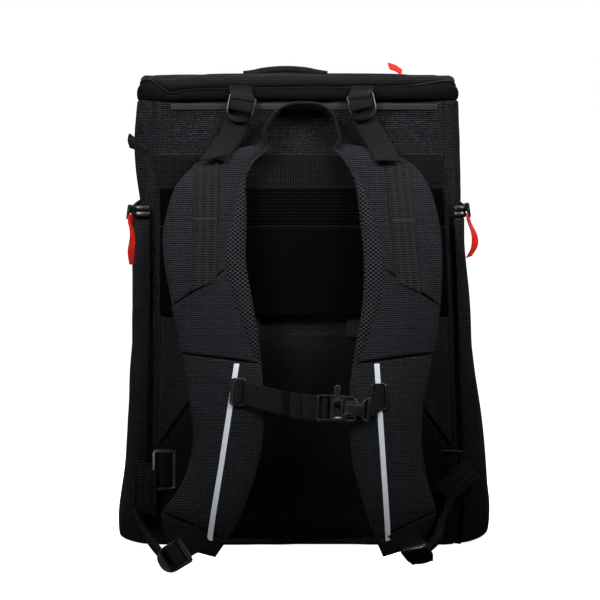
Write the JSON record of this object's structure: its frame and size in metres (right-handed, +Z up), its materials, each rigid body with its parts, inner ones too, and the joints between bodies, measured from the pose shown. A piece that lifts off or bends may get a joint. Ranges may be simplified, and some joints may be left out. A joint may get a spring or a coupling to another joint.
{
  "type": "gear backpack",
  "caption": "Tall boxy gear backpack standing on its base, with padded shoulder straps, chest strap, side pockets and a lid.",
  "frame": {"origin": "on the flat base, under the middle of the bag", "axes": "+Z up along the bag's height, -Y towards the harness side, +X to the right of a viewer who faces the harness"},
  "size_m": [0.4098, 0.4128, 0.5198],
  "materials": {
    "shell_cloth": "woven nylon, matte",
    "panel_cloth": "woven nylon with a horizontal rib",
    "air_mesh": "open spacer mesh",
    "webbing": "ribbed nylon webbing",
    "buckle_plastic": "moulded acetal, semi-gloss",
    "light_strip": "glass-bead reflective tape",
    "smooth_strip": "coated tape, satin",
    "red_ribbon": "grosgrain ribbon",
    "zip_tape": "coated zip tape, glossy"
  },
  "bodies": {
    "root": {"main_body": "shell_cloth", "rim_roll": "shell_cloth", "lid": "shell_cloth", "side_wing_left": "shell_cloth", "side_wing_right": "shell_cloth", "bottom_piping": "shell_cloth", "pocket_left": "shell_cloth", "pocket_right": "shell_cloth", "corner_tab": "shell_cloth", "strap_upper_left": "shell_cloth", "strap_upper_right": "shell_cloth", "strap_middle_left": "shell_cloth", "strap_middle_right": "shell_cloth", "strap_lower_left": "shell_cloth", "strap_lower_right": "shell_cloth", "strap_end_left": "shell_cloth", "strap_end_right": "shell_cloth", "stitched_band": "panel_cloth", "sleeve_panel": "panel_cloth", "mesh_pad": "air_mesh", "strap_lining_left": "air_mesh", "strap_lining_right": "air_mesh", "ribbed_band": "webbing", "grab_handle": "webbing", "haul_loop": "webbing", "chest_webbing": "webbing", "chest_keeper": "webbing", "daisy_webbing_left": "webbing", "daisy_webbing_right": "webbing", "lifter_tab_left": "webbing", "lifter_tab_right": "webbing", "lifter_webbing_left": "webbing", "lifter_webbing_right": "webbing", "corner_webbing_left": "webbing", "corner_webbing_right": "webbing", "folded_webbing_left": "webbing", "folded_webbing_right": "webbing", "end_webbing_left": "webbing", "end_webbing_right": "webbing", "clasp_socket": "buckle_plastic", "clasp_plug": "buckle_plastic", "ladder_lock_left": "buckle_plastic", "ladder_lock_right": "buckle_plastic", "lower_lock_left": "buckle_plastic", "lower_lock_right": "buckle_plastic", "chest_loop_left": "buckle_plastic", "chest_loop_right": "buckle_plastic", "slotted_plate_left": "buckle_plastic", "slotted_plate_right": "buckle_plastic", "zip_slider_left": "buckle_plastic", "zip_slider_right": "buckle_plastic", "light_strip_left": "light_strip", "light_strip_right": "light_strip", "smooth_strip": "smooth_strip", "lid_ribbon": "red_ribbon", "zip_ribbon_left": "red_ribbon", "zip_ribbon_right": "red_ribbon", "lid_zip": "zip_tape", "pocket_zip_left": "zip_tape", "pocket_zip_right": "zip_tape"}
  },
  "joints": []
}
